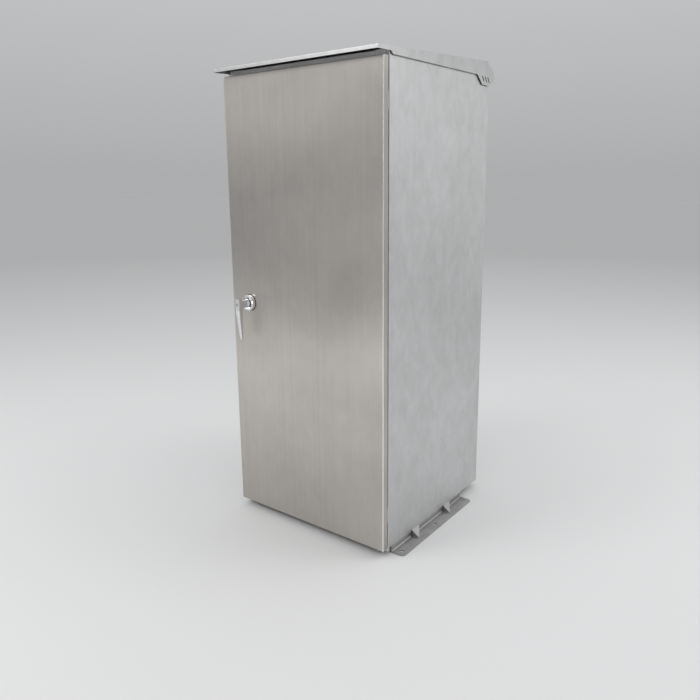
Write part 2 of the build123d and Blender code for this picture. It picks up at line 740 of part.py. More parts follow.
# Lock plug in the head of the lever
with BuildPart() as lock_plug:
    with BuildSketch(facing_front(plug_front + PLUG_DEPTH)):
        with Locations((lock_x, lock_z)):
            Circle(PLUG_RADIUS)
    extrude(amount=PLUG_DEPTH + PLUG_PROUD)
    with BuildSketch(facing_front(plug_front - PLUG_PROUD)):
        with Locations((lock_x, lock_z)):
            Rectangle(KEY_SLOT, KEY_SLOT_LENGTH)
    extrude(amount=-KEY_SLOT_DEPTH, mode=Mode.SUBTRACT)
keep(lock_plug, "lock_plug")

# Cam on the spindle's square, with a pin for each rod
cam_pins = [
    (lock_x + CAM_PIN_CIRCLE * cos(a), lock_z + CAM_PIN_CIRCLE * sin(a))
    for a in (radians(CAM_START), radians(CAM_START) + pi)
]
with BuildPart() as latch_cam:
    with BuildSketch(facing_front(cam_rear)):
        with Locations((lock_x, lock_z)):
            Circle(CAM_HUB_RADIUS)
        with Locations(*cam_pins):
            Circle(CAM_EYE_RADIUS)
        make_hull()
        with Locations((lock_x, lock_z)):
            Rectangle(SPINDLE_SQUARE, SPINDLE_SQUARE, mode=Mode.SUBTRACT)
    extrude(amount=CAM_PLATE)
    with BuildSketch(facing_front(cam_rear)):
        with Locations(*cam_pins):
            Circle(CAM_PIN_RADIUS)
    extrude(amount=-CAM_PIN_LENGTH)
keep(latch_cam, "latch_cam")

# Screw that holds the cam on the spindle
with BuildPart() as cam_screw:
    with BuildSketch(facing_front(cam_rear)):
        with Locations((lock_x, lock_z)):
            RegularPolygon(SCREW_RADIUS, 6)
    extrude(amount=-SCREW_HEIGHT)
keep(cam_screw, "cam_screw")

# Latch rods, each with a cross slot for its cam pin, sliding behind header and sill
pin_near = CAM_PIN_CIRCLE * cos(radians(CAM_START))
rod_offset = (pin_near + CAM_PIN_CIRCLE) / 2
slot_half = (CAM_PIN_CIRCLE - pin_near) / 2 + CAM_PIN_RADIUS + YOKE_SIDE_PLAY
slot_lift = CAM_PIN_RADIUS + YOKE_LIFT_PLAY
rod_front = frame_rear + ROD_BEHIND_FRAME
rod_rear = rod_front + ROD_THICKNESS
rods = {
    "upper": (lock_x + rod_offset, cam_pins[0][1], opening_top - ROD_CLEAR, 1),
    "lower": (lock_x - rod_offset, cam_pins[1][1], opening_bottom + ROD_CLEAR, -1),
}
for place, (x, z, tip, up) in rods.items():
    with BuildPart() as rod:
        with BuildSketch(facing_front(rod_rear)):
            with Locations((x, (z + tip) / 2)):
                Rectangle(ROD_WIDTH, abs(tip - z))
            with Locations((x, z)):
                Rectangle(2 * (slot_half + YOKE_WALL), 2 * (slot_lift + YOKE_WALL))
                SlotOverall(2 * slot_half, 2 * slot_lift, mode=Mode.SUBTRACT)
        extrude(amount=ROD_THICKNESS)
        tip_edges = edges().filter_by(Axis.Y).sort_by(Axis.Z)
        chamfer(tip_edges[-2:] if up > 0 else tip_edges[:2], length=ROD_CHAMFER)
    keep(rod, f"{place}_rod")

# Guides that carry the rods off the door
guide_half = ROD_WIDTH / 2 + GUIDE_PLAY + GUIDE_WALL
guide_rear = rod_rear + GUIDE_PLAY + GUIDE_WALL
guide_places = {
    "top": ("upper", opening_top - GUIDE_FROM_END),
    "upper": ("upper", lock_z + GUIDE_FROM_LOCK),
    "lower": ("lower", lock_z - GUIDE_FROM_LOCK),
    "bottom": ("lower", opening_bottom + GUIDE_FROM_END),
}
for place, (rod_name, z) in guide_places.items():
    x = rods[rod_name][0]
    with BuildPart() as guide:
        low, high = z - GUIDE_HEIGHT / 2, z + GUIDE_HEIGHT / 2
        block((x - guide_half, door_inner, low), (x + guide_half, guide_rear, high))
        fillet(edges().filter_by(Axis.Z).group_by(Axis.Y)[-1], radius=GUIDE_WALL)
        block(
            (x - ROD_WIDTH / 2 - GUIDE_PLAY, rod_front - GUIDE_PLAY, low - CUT),
            (x + ROD_WIDTH / 2 + GUIDE_PLAY, rod_rear + GUIDE_PLAY, high + CUT),
            Mode.SUBTRACT,
        )
    keep(guide, f"rod_guide_{place}")

# Rack rails with three square holes in each rack unit
rail_low = floor_top + RAIL_ABOVE_FLOOR
rail_room = top_plate_under - FAN_DEPTH - RAIL_BELOW_FANS - rail_low
rack_units = int(rail_room / RACK_PITCH)
rail_height = RACK_PITCH * rack_units
rail_outer = half_width - RAIL_FROM_SIDE
rail_inner = rail_outer - RAIL_FLANGE
rail_faces = {"front": shell_front + RAIL_FROM_FRONT, "rear": shell_back - RAIL_FROM_BACK}
for place, face_y in rail_faces.items():
    inward = 1 if place == "front" else -1
    with BuildPart() as rail:
        flange_y = face_y + inward * RAIL_SHEET / 2
        web_x = rail_outer - RAIL_SHEET / 2
        rail_line = ((rail_inner, flange_y), (web_x, flange_y), (web_x, face_y + inward * RAIL_WEB))
        extrude(strip(Plane.XY.offset(rail_low), rail_line, RAIL_SHEET, RAIL_BEND), amount=rail_height)
        holes = [
            (rail_inner + RACK_HOLE_FROM_EDGE, rail_low + RACK_PITCH * (unit + share))
            for unit in range(rack_units)
            for share in RACK_HOLE_SHARES
        ]
        with BuildSketch(facing_front(face_y)):
            with Locations(*holes):
                Rectangle(RACK_HOLE, RACK_HOLE)
        extrude(amount=-inward * RAIL_SHEET, mode=Mode.SUBTRACT)
    keep(rail, f"rack_rail_{place}_right")
    mirrored(rail, f"rack_rail_{place}_left")

# Braces between the rails and the side panels
for place, share in BRACE_SHARES.items():
    with BuildPart() as brace:
        z = rail_low + share * rail_height
        web_x = rail_outer + BRACE_SHEET / 2
        low, high = z - BRACE_HEIGHT / 2, z + BRACE_HEIGHT / 2
        brace_line = ((side_inner, low), (web_x, low), (web_x, high), (side_inner, high))
        brace_end = back_inner - BRACE_END_GAP
        brace_length = brace_end - (frame_rear + BRACE_END_GAP)
        extrude(strip(facing_front(brace_end), brace_line, BRACE_SHEET, BRACE_BEND), amount=brace_length)
    keep(brace, f"rail_brace_{place}_right")
    mirrored(brace, f"rail_brace_{place}_left")

# Fans under the top plate: frame with stator, rotor and finger guard
fan_top = top_plate_under
fan_bottom = fan_top - FAN_DEPTH
stator_top = fan_bottom + FAN_BASE
hub_low = stator_top + FAN_HUB_GAP
blade_middle = hub_low + FAN_HUB_HEIGHT / 2
blade_tip = FAN_BORE_RADIUS - FAN_TIP_GAP
for side, x in fan_places.items():
    with BuildPart() as fan_frame:
        with BuildSketch(Plane.XY.offset(fan_bottom)):
            with Locations((x, fan_y)):
                RectangleRounded(FAN_SIZE, FAN_SIZE, FAN_CORNER)
                Circle(FAN_BORE_RADIUS, mode=Mode.SUBTRACT)
        extrude(amount=FAN_DEPTH)
        with BuildSketch(Plane.XY.offset(fan_bottom)):
            with Locations((x, fan_y)):
                Circle(FAN_HUB_RADIUS)
                Rectangle(2 * FAN_BORE_RADIUS, FAN_STRUT)
                Rectangle(FAN_STRUT, 2 * FAN_BORE_RADIUS)
        extrude(amount=FAN_BASE)
        with BuildSketch(Plane.XY.offset(stator_top)):
            with Locations((x, fan_y)):
                Circle(FAN_PIN_RADIUS)
        extrude(amount=FAN_PIN_LENGTH)
    keep(fan_frame, f"fan_frame_{side}")

    with BuildPart() as fan_rotor:
        with BuildSketch(Plane.XY.offset(hub_low)):
            with Locations((x, fan_y)):
                Circle(FAN_HUB_RADIUS)
        extrude(amount=FAN_HUB_HEIGHT)
        for blade in range(FAN_BLADES):
            turn = 2 * pi * blade / FAN_BLADES
            outward = Vector(cos(turn), sin(turn), 0)
            across = Vector(-sin(turn), cos(turn), 0)
            for radius, angle in (
                (FAN_HUB_RADIUS - FAN_BLADE, FAN_ROOT_ANGLE),
                (blade_tip, FAN_TIP_ANGLE),
            ):
                middle = Vector(x, fan_y, blade_middle) + outward * radius
                with BuildSketch(Plane(origin=middle, x_dir=across, z_dir=outward)):
                    Rectangle(FAN_CHORD, FAN_BLADE, rotation=angle)
            loft()
        with BuildSketch(Plane.XY.offset(hub_low)):
            with Locations((x, fan_y)):
                Circle(FAN_PIN_RADIUS + RUNNING_CLEARANCE)
        extrude(amount=FAN_PIN_LENGTH, mode=Mode.SUBTRACT)
    keep(fan_rotor, f"fan_rotor_{side}")

    with BuildPart() as fan_guard:
        with BuildSketch(Plane.XY.offset(fan_bottom)):
            with Locations((x, fan_y)):
                for share in GUARD_RING_SHARES:
                    Circle(share * FAN_BORE_RADIUS + GUARD_WIRE / 2)
                    Circle(share * FAN_BORE_RADIUS - GUARD_WIRE / 2, mode=Mode.SUBTRACT)
                for turn in (GUARD_BAR_ANGLE, -GUARD_BAR_ANGLE):
                    Rectangle(GUARD_SPAN, GUARD_WIRE, rotation=turn)
        extrude(amount=-GUARD_WIRE)
    keep(fan_guard, f"fan_guard_{side}")

# Earth stud on the floor plate
with BuildPart() as earth_stud:
    stud_place = (-side_inner + STUD_FROM_SIDE, frame_rear + STUD_FROM_FRONT)
    with BuildSketch(Plane.XY.offset(floor_top)):
        with Locations(stud_place):
            RegularPolygon(STUD_NUT_FLATS / 2, 6, major_radius=False)
    extrude(amount=STUD_NUT_HEIGHT)
    with BuildSketch(Plane.XY.offset(floor_top)):
        with Locations(stud_place):
            Circle(STUD_RADIUS)
    extrude(amount=STUD_HEIGHT)
keep(earth_stud, "earth_stud")
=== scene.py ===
import json
import math

import bmesh
import bpy
from mathutils import Matrix, Vector


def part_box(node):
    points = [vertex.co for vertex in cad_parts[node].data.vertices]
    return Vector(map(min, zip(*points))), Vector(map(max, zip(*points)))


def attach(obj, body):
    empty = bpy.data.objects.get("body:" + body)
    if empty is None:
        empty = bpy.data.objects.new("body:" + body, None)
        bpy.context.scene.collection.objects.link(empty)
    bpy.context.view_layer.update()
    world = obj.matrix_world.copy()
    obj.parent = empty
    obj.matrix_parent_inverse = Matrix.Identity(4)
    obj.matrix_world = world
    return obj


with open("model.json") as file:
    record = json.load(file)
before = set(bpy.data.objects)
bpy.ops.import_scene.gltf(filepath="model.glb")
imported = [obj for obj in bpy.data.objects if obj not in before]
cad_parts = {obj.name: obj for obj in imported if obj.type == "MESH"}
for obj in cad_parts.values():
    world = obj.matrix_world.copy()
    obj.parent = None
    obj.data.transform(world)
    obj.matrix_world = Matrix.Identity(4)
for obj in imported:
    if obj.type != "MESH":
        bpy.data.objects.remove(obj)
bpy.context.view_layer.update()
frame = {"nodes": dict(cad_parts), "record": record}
nodes = frame["nodes"]
scene = bpy.context.scene
scene.view_settings.view_transform = "Standard"


# Material helpers

class Graph:
    """One procedural material under construction."""

    def __init__(self, name):
        self.material = bpy.data.materials.new(name)
        self.material.use_nodes = True
        self.tree = self.material.node_tree
        self.tree.nodes.clear()
        self.shader = self.tree.nodes.new("ShaderNodeBsdfPrincipled")
        out = self.tree.nodes.new("ShaderNodeOutputMaterial")
        self.link(self.shader.outputs["BSDF"], out.inputs["Surface"])
        self.coords = self.tree.nodes.new("ShaderNodeTexCoord").outputs["Object"]

    def link(self, a, b):
        self.tree.links.new(a, b)

    def noise(self, scale, detail=2.0, rough=0.5, shift=(0, 0, 0), distortion=0.0):
        """Noise with its own number of features per metre along X, Y and Z."""
        place = self.tree.nodes.new("ShaderNodeMapping")
        place.inputs["Scale"].default_value = scale
        place.inputs["Location"].default_value = shift
        self.link(self.coords, place.inputs["Vector"])
        tex = self.tree.nodes.new("ShaderNodeTexNoise")
        tex.inputs["Scale"].default_value = 1.0
        tex.inputs["Detail"].default_value = detail
        tex.inputs["Roughness"].default_value = rough
        tex.inputs["Distortion"].default_value = distortion
        self.link(place.outputs["Vector"], tex.inputs["Vector"])
        return tex.outputs["Fac"]

    def cells(self, scale):
        """Flat cells, each with its own grey, as in zinc spangle."""
        tex = self.tree.nodes.new("ShaderNodeTexVoronoi")
        tex.inputs["Scale"].default_value = scale
        self.link(self.coords, tex.inputs["Vector"])
        grey = self.tree.nodes.new("ShaderNodeRGBToBW")
        self.link(tex.outputs["Color"], grey.inputs["Color"])
        return grey.outputs["Val"]

    def distance(self):
        """Distance from the origin in metres."""
        length = self.tree.nodes.new("ShaderNodeVectorMath")
        length.operation = "LENGTH"
        self.link(self.coords, length.inputs[0])
        return length.outputs["Value"]

    def math(self, operation, *values):
        m = self.tree.nodes.new("ShaderNodeMath")
        m.operation = operation
        for value, socket in zip(values, m.inputs):
            self.link(value, socket)
        return m.outputs[0]

    def sum(self, *weighted):
        """Weighted sum of values."""
        total = None
        for value, weight in weighted:
            part = self.tree.nodes.new("ShaderNodeMath")
            part.operation = "MULTIPLY_ADD"
            self.link(value, part.inputs[0])
            part.inputs[1].default_value = weight
            part.inputs[2].default_value = 0.0
            if total is not None:
                self.link(total, part.inputs[2])
            total = part.outputs[0]
        return total

    def span(self, value, low, high, start=0.0, end=1.0):
        """A value from start..end carried to low..high."""
        m = self.tree.nodes.new("ShaderNodeMapRange")
        for key, v in (("From Min", start), ("From Max", end), ("To Min", low), ("To Max", high)):
            m.inputs[key].default_value = v
        self.link(value, m.inputs["Value"])
        return m.outputs["Result"]

    def ramp(self, value, *stops):
        """Colour by value, from stops of (value, colour)."""
        r = self.tree.nodes.new("ShaderNodeValToRGB")
        for element, (place, colour) in zip(r.color_ramp.elements, stops, strict=True):
            element.position = place
            element.color = (*colour, 1)
        self.link(value, r.inputs["Fac"])
        return r.outputs["Color"]

    def blend(self, share, first, second):
        """Colour from first to second by share."""
        m = self.tree.nodes.new("ShaderNodeMix")
        m.data_type = "RGBA"
        a, b = [k for k in m.inputs if k.type == "RGBA"]
        self.link(share, m.inputs["Factor"])
        self.link(first, a)
        b.default_value = (*second, 1)
        return next(k for k in m.outputs if k.type == "RGBA")

    def side_bends(self, half, front, radius):
        """One on the upright front bends of a folded tray, nothing on its flat faces; it masks the painted
        bend highlight.
        """
        axes = self.tree.nodes.new("ShaderNodeSeparateXYZ")
        self.link(self.coords, axes.inputs["Vector"])
        aside = self.math("ABSOLUTE", axes.outputs["X"])
        start, end, fade = half - radius, front + radius, BEND_FADE * radius
        outer = self.span(aside, 0.0, 1.0, start - fade, start + fade)
        ahead = self.span(axes.outputs["Y"], 1.0, 0.0, end - fade, end + fade)
        return self.math("MULTIPLY", outer, ahead)

    def height(self, *layers):
        """Bumps, each (value, strength, depth in metres)."""
        last = None
        for value, strength, depth in layers:
            b = self.tree.nodes.new("ShaderNodeBump")
            b.inputs["Strength"].default_value = strength
            b.inputs["Distance"].default_value = depth
            self.link(value, b.inputs["Height"])
            if last is not None:
                self.link(last, b.inputs["Normal"])
            last = b.outputs["Normal"]
        self.link(last, self.shader.inputs["Normal"])

    def around(self):
        """Tangent level around the vertical, so that upright grain spreads light sideways."""
        t = self.tree.nodes.new("ShaderNodeTangent")
        t.direction_type = "RADIAL"
        t.axis = "Z"
        self.link(t.outputs["Tangent"], self.shader.inputs["Tangent"])

    def set(self, **values):
        """Shader inputs by name, from a value or from another node."""
        for key, v in values.items():
            socket = self.shader.inputs[key.replace("_", " ")]
            if isinstance(v, bpy.types.NodeSocket):
                self.link(v, socket)
            else:
                socket.default_value = v


BEND_FADE = 0.2  # share of a bend's radius
# Painted highlight: base colour of the door's upright bends, brighter than the steel, standing in for light
# caught on the bend
BEND_HIGHLIGHT = (0.86, 0.85, 0.83)
RUBBED_SMOOTHER = 0.12


def stretched(along, across, axis):
    """Features per metre along one axis and across it."""
    return tuple(along if k == axis else across for k in "xyz")


def brushed(name, dark, light, rough, axis, clouds, shares, grain=0.0, bends=None):
    """Stainless sheet: clouds, blotches, wide streaks and hair lines along one axis.

    shares gives each one's part of the tone.
    bends is (half width, front, radius) of bends that get a painted highlight and a smoother finish.
    """
    g = Graph(name)
    cloud = g.noise(clouds, detail=3, rough=0.5, shift=(5.3, 2.2, 7.9), distortion=0.3)
    blotch = g.noise((24, 24, 17), detail=6, rough=0.64, shift=(1.3, 8.1, 4.7), distortion=0.5)
    streak = g.noise(stretched(0.7, 90, axis), detail=4, rough=0.6, shift=(3.1, 1.7, 0.4))
    hair = g.noise(stretched(6, 620, axis), detail=3, rough=0.6)
    tone = g.sum(*zip((cloud, blotch, streak, hair), shares))
    colour = g.ramp(tone, (0.37, dark), (0.63, light))
    worn = g.sum((hair, 0.4), (blotch, 0.35), (cloud, 0.25))
    polish = g.span(worn, rough - 0.04, rough + 0.05, start=0.3, end=0.7)
    if bends:
        # Painted highlight on the bends: the brighter base colour stands in for caught light; the lower
        # roughness is a real smoother finish
        highlight_mask = g.side_bends(*bends)
        colour = g.blend(highlight_mask, colour, BEND_HIGHLIGHT)
        polish = g.math("SUBTRACT", polish, g.span(highlight_mask, 0.0, RUBBED_SMOOTHER))
    g.set(Base_Color=colour, Metallic=1.0, Roughness=polish, Anisotropic=grain)
    if grain:
        g.around()
    g.height((hair, 0.22, 0.0001), (cloud, 0.10, 0.004))
    return g.material


def galvanised(name, dark, light, rough):
    """Zinc-coated sheet with spangle."""
    g = Graph(name)
    spangle = g.cells(95)
    wide = g.noise((7, 7, 5), detail=3)
    tone = g.sum((spangle, 0.55), (wide, 0.45))
    worn = g.sum((spangle, 0.6), (wide, 0.4))
    g.set(
        Base_Color=g.ramp(tone, (0.2, dark), (0.8, light)),
        Metallic=1.0,
        Roughness=g.span(worn, rough - 0.08, rough + 0.12, start=0.2, end=0.8),
    )
    g.height((g.noise((420, 420, 420)), 0.12, 0.0002))
    return g.material


def plated(name, dark, light, rough):
    """Plated or bare small metal parts."""
    g = Graph(name)
    wide = g.noise((60, 60, 60), detail=3, rough=0.6)
    fine = g.noise((900, 900, 900))
    worn = g.sum((wide, 0.6), (fine, 0.4))
    g.set(
        Base_Color=g.ramp(wide, (0.3, dark), (0.7, light)),
        Metallic=1.0,
        Roughness=g.span(worn, rough - 0.05, rough + 0.08, start=0.3, end=0.7),
    )
    g.height((fine, 0.06, 0.0001))
    return g.material


def moulded(name, dark, light, rough, grain, depth, strength=0.35):
    """Rubber or plastic with a fine grain, in features per metre."""
    g = Graph(name)
    wide = g.noise((22, 22, 22), detail=3, rough=0.6)
    fine = g.noise((grain, grain, grain), detail=3, rough=0.55)
    tone = g.sum((wide, 0.6), (fine, 0.4))
    worn = g.sum((wide, 0.5), (fine, 0.5))
    g.set(
        Base_Color=g.ramp(tone, (0.3, dark), (0.7, light)),
        Metallic=0.0,
        Roughness=g.span(worn, rough - 0.08, rough + 0.1, start=0.3, end=0.7),
    )
    g.height((fine, strength, depth))
    return g.material


# Materials

DOOR_BEND = 0.0025  # outer radius in metres
door_low, door_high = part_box("door_skin")

door_steel = brushed(
    "door_steel", dark=(0.452, 0.428, 0.403), light=(0.622, 0.592, 0.560), rough=0.38, axis="z",
    clouds=(1.3, 1.3, 1.7), shares=(0.58, 0.16, 0.12, 0.14), grain=0.72,
    # these bends get a painted highlight
    bends=(door_high[0], door_low[1], DOOR_BEND),
)
# The shell's steel is set lighter than the door's steel: painted light standing in for the brighter light on
# the side panels
shell_steel = brushed(
    "shell_steel", dark=(0.565, 0.566, 0.566), light=(0.695, 0.698, 0.700), rough=0.46, axis="z",
    clouds=(2.0, 2.0, 1.5), shares=(0.36, 0.46, 0.10, 0.08), grain=0.30,
)
hood_steel = brushed(
    "hood_steel", dark=(0.480, 0.480, 0.480), light=(0.630, 0.633, 0.636), rough=0.44, axis="x",
    clouds=(2.2, 2.2, 2.2), shares=(0.40, 0.40, 0.10, 0.10),
)
foot_steel = brushed(
    "foot_steel", dark=(0.300, 0.300, 0.295), light=(0.460, 0.460, 0.455), rough=0.50, axis="y",
    clouds=(6.0, 6.0, 6.0), shares=(0.35, 0.40, 0.15, 0.10),
)
inner_steel = galvanised("inner_steel", (0.50, 0.51, 0.53), (0.68, 0.69, 0.71), rough=0.42)
plated_steel = plated("plated_steel", (0.60, 0.60, 0.585), (0.74, 0.74, 0.72), rough=0.28)
handle_chrome = plated("handle_chrome", (0.70, 0.70, 0.71), (0.79, 0.79, 0.80), rough=0.09)
lock_brass = plated("lock_brass", (0.56, 0.55, 0.52), (0.66, 0.65, 0.62), rough=0.24)
earth_brass = plated("earth_brass", (0.62, 0.44, 0.17), (0.74, 0.56, 0.26), rough=0.30)
seal_rubber = moulded(
    "seal_rubber", (0.018, 0.018, 0.018), (0.035, 0.035, 0.035),
    rough=0.75, grain=700, depth=0.0006, strength=0.5,
)
black_plastic = moulded(
    "black_plastic", (0.020, 0.020, 0.022), (0.034, 0.034, 0.036), rough=0.48, grain=1300, depth=0.0002,
)
weld_steel = plated("weld_steel", (0.300, 0.292, 0.284), (0.440, 0.430, 0.415), rough=0.40)

finish = {
    "door_steel": door_steel,
    "shell_steel": shell_steel,
    "foot_steel": foot_steel,
    "inner_steel": inner_steel,
    "plated_steel": plated_steel,
    "handle_chrome": handle_chrome,
    "lock_brass": lock_brass,
    "earth_brass": earth_brass,
    "seal_rubber": seal_rubber,
    "black_plastic": black_plastic,
}
for sub in frame["record"]["subparts"]:
    piece = nodes[sub["node"]]
    look = hood_steel if sub["node"] == "rain_hood" else finish[sub["material_slot"]]
    if not piece.material_slots:
        piece.data.materials.append(look)
    for s in piece.material_slots:
        s.material = look

# Small fixings and welds, sizes in metres

# Rings of a head, each (share of radius, share of height, six-sided)
BUTTON = (
    (1.0, 0, 0), (1.0, 0.25, 0), (0.92, 0.58, 0), (0.70, 0.90, 0), (0.52, 1.0, 0),
    (0.44, 1.0, 1), (0.44, 0.4, 1),
)
DOME = ((1.0, 0, 0), (0.97, 0.30, 0), (0.80, 0.70, 0), (0.50, 0.93, 0), (0.20, 1.0, 0))
HEXAGON = ((1.0, 0, 0), (1.0, 0.22, 0), (0.94, 0.22, 1), (0.94, 0.86, 1), (0.80, 1.0, 0))

RAIL_BOLT = dict(radius=0.0060, height=0.0054, rings=HEXAGON)
FAN_SCREW = dict(radius=0.0044, height=0.0052, rings=BUTTON)
PLATE_SCREW = dict(radius=0.0046, height=0.0028, rings=BUTTON)
HINGE_SCREW = dict(radius=0.0042, height=0.0022, rings=BUTTON)
GRILLE_RIVET = dict(radius=0.0034, height=0.0016, rings=DOME)
HEAD_STEPS = 24
SIXTH = math.pi / 3

RAIL_SHEET = 0.002
RAIL_BOLT_INSET = {"front": 0.028, "rear": 0.017}  # from the rail's front
RAIL_BOLT_PITCH = 0.018
FAN_SCREW_PITCH = 0.105
PLATE_SCREW_PITCH = (0.110, 0.106)  # across and along
GRILLE_RIVET_PITCH = (0.159, 0.160)
HINGE_PLATE = 0.004
HINGE_SCREW_FROM_SIDE = 0.0058
HINGE_SCREW_FROM_END = 0.008

BEAD_RADIUS = 0.0017
BEAD_STEP = 0.0008
BEAD_RIPPLE = 0.14  # share of the radius
BEAD_RIPPLE_STEPS = 3
BEAD_END = 0.5  # share of the radius
BEAD_ARC_STEPS = 5
GUSSET_REACH = 0.028
GUSSET_LENGTH = 0.044
# Ends of the gusset's beads, out from the foot's upright and back from the gusset's front
BEAD_START = (0.007, 0)
BEAD_TIP = (0.0275, 0)
BEAD_REAR = (0.002, 0.0408)

# Section of the ring under the rosette, each (reach past the rosette, rise from the door)
SEAL_SECTION = (
    (-0.0030, 0), (0.0004, 0), (0.0011, 0.0005), (0.0011, 0.0011), (0.0004, 0.0016), (-0.0030, 0.0016),
)
SEAL_STEPS = 72

SHARP = math.radians(35)


def middle(node):
    low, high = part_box(node)
    return [(a + b) / 2 for a, b in zip(low, high)]


def spaced(count, pitch):
    """Places at one pitch around zero."""
    return [(k - (count - 1) / 2) * pitch for k in range(count)]


def circle(steps):
    return [2 * math.pi * k / steps for k in range(steps)]


def bridge(bm, loops):
    """Faces between each loop and the next."""
    for low, high in zip(loops, loops[1:]):
        for k in range(len(low)):
            n = (k + 1) % len(low)
            bm.faces.new((low[k], low[n], high[n], high[k]))


def turned(bm, place, along, radius, height, rings):
    """A small turned or six-sided head on a seat."""
    turn = Vector((0, 0, 1)).rotation_difference(Vector(along)).to_matrix()
    loops = []
    for r, h, six in rings:
        loop = []
        for angle in circle(HEAD_STEPS):
            reach = r * radius
            if six:
                reach *= math.cos(SIXTH / 2) / math.cos(angle % SIXTH - SIXTH / 2)
            point = Vector((reach * math.cos(angle), reach * math.sin(angle), h * height))
            loop.append(bm.verts.new(Vector(place) + turn @ point))
        loops.append(loop)
    bridge(bm, loops)
    bm.faces.new(loops[-1])
    bm.faces.new(list(reversed(loops[0])))


def head_grid(bm, node, level, outward, across, along, head):
    """Heads in rows on a level face of a node; across and along are (count, pitch)."""
    x, y, _ = middle(node)
    for dx in spaced(*across):
        for dy in spaced(*along):
            turned(bm, (x + dx, y + dy, level), (0, 0, outward), **head)


def bead(bm, start, end, lean):
    """A rippled fillet weld from start to end that fills between the two directions of lean."""
    start, end = Vector(start), Vector(end)
    count = max(4, int((end - start).length / BEAD_STEP))
    first, second = (Vector(v) for v in lean)
    loops = []
    for k in range(count + 1):
        swell = BEAD_RADIUS * (1 + BEAD_RIPPLE * math.cos(2 * math.pi * k / BEAD_RIPPLE_STEPS))
        if k in (0, count):
            swell *= BEAD_END
        root = start.lerp(end, k / count)
        loop = [bm.verts.new(root)]
        for step in range(BEAD_ARC_STEPS + 1):
            angle = math.pi / 2 * step / BEAD_ARC_STEPS
            loop.append(bm.verts.new(root + swell * (math.cos(angle) * first + math.sin(angle) * second)))
        loops.append(loop)
    bridge(bm, loops)
    bm.faces.new(loops[0])
    bm.faces.new(list(reversed(loops[-1])))


def fixing(name, body, look, make):
    """One mesh of small pieces that rides on a body."""
    bm = bmesh.new()
    make(bm)
    bmesh.ops.recalc_face_normals(bm, faces=bm.faces)
    mesh = bpy.data.meshes.new(name)
    bm.to_mesh(mesh)
    bm.free()
    mesh.materials.append(look)
    mesh.set_sharp_from_angle(angle=SHARP)
    for polygon in mesh.polygons:
        polygon.use_smooth = True
    piece = bpy.data.objects.new(name, mesh)
    scene.collection.objects.link(piece)
    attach(piece, body)


def rosette_seal(bm):
    low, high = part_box("latch_rosette")
    x, _, z = middle("latch_rosette")
    front = door_low[1]
    loops = []
    for reach, rise in SEAL_SECTION:
        radius = (high[0] - low[0]) / 2 + reach
        loops.append([
            bm.verts.new((x + radius * math.cos(angle), front - rise, z + radius * math.sin(angle)))
            for angle in circle(SEAL_STEPS)
        ])
    bridge(bm, loops + loops[:1])


def rail_bolts(bm):
    for side, inward in (("left", 1), ("right", -1)):
        for end, inset in RAIL_BOLT_INSET.items():
            low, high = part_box(f"rack_rail_{end}_{side}")
            web = (low[0] if side == "left" else high[0]) + inward * RAIL_SHEET
            for place in ("lower", "middle", "upper"):
                z = middle(f"rail_brace_{place}_{side}")[2]
                for lift in spaced(2, RAIL_BOLT_PITCH):
                    turned(bm, (web, low[1] + inset, z + lift), (inward, 0, 0), **RAIL_BOLT)


def fan_screws(bm):
    pair = (2, FAN_SCREW_PITCH)
    for side in ("left", "right"):
        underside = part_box(f"fan_frame_{side}")[0][2]
        head_grid(bm, f"fan_guard_{side}", underside, -1, pair, pair, FAN_SCREW)


def plate_screws(bm):
    across, along = PLATE_SCREW_PITCH
    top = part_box("gland_plate")[1][2]
    head_grid(bm, "gland_plate", top, 1, (4, across), (2, along), PLATE_SCREW)


def grille_rivets(bm):
    across, along = GRILLE_RIVET_PITCH
    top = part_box("intake_grille")[1][2]
    head_grid(bm, "intake_grille", top, 1, (3, across), (2, along), GRILLE_RIVET)


def hinge_screws(bm):
    for place in ("upper", "lower"):
        low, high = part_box(f"hinge_frame_leaf_{place}")
        x, y = low[0] + HINGE_SCREW_FROM_SIDE, high[1] - HINGE_PLATE
        for z in (low[2] + HINGE_SCREW_FROM_END, high[2] - HINGE_SCREW_FROM_END):
            turned(bm, (x, y, z), (0, -1, 0), **HINGE_SCREW)


def foot_welds(bm):
    up = (0, 0, 1)
    for side, out in (("left", -1), ("right", 1)):
        low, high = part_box(f"foot_gussets_{side}")
        web = high[0] if side == "left" else low[0]
        slope = Vector((out * GUSSET_LENGTH, GUSSET_REACH, 0)).normalized()
        for front in (low[1], high[1] - GUSSET_LENGTH):
            start, tip, rear = (
                (web + out * aside, front + back, low[2]) for aside, back in (BEAD_START, BEAD_TIP, BEAD_REAR)
            )
            bead(bm, start, tip, ((0, -1, 0), up))
            bead(bm, tip, rear, (slope, up))


fixing("rosette_seal", "door", seal_rubber, rosette_seal)
fixing("rail_bolts", "cabinet", plated_steel, rail_bolts)
fixing("fan_screws", "cabinet", plated_steel, fan_screws)
fixing("plate_screws", "cabinet", plated_steel, plate_screws)
fixing("grille_rivets", "cabinet", plated_steel, grille_rivets)
fixing("hinge_screws", "cabinet", plated_steel, hinge_screws)
fixing("foot_welds", "cabinet", weld_steel, foot_welds)

# Stage: a pale floor painted a little darker away from the cabinet, a painted falloff of light towards the
# horizon, where it meets the world's grey

FLOOR_REACH = 60.0
FLOOR_FADE = (1.5, 9.0)  # metres from the cabinet
FLOOR_NEAR = (0.72, 0.72, 0.72)
FLOOR_FAR = (0.548, 0.548, 0.548)
FLOOR_ROUGH = 0.6

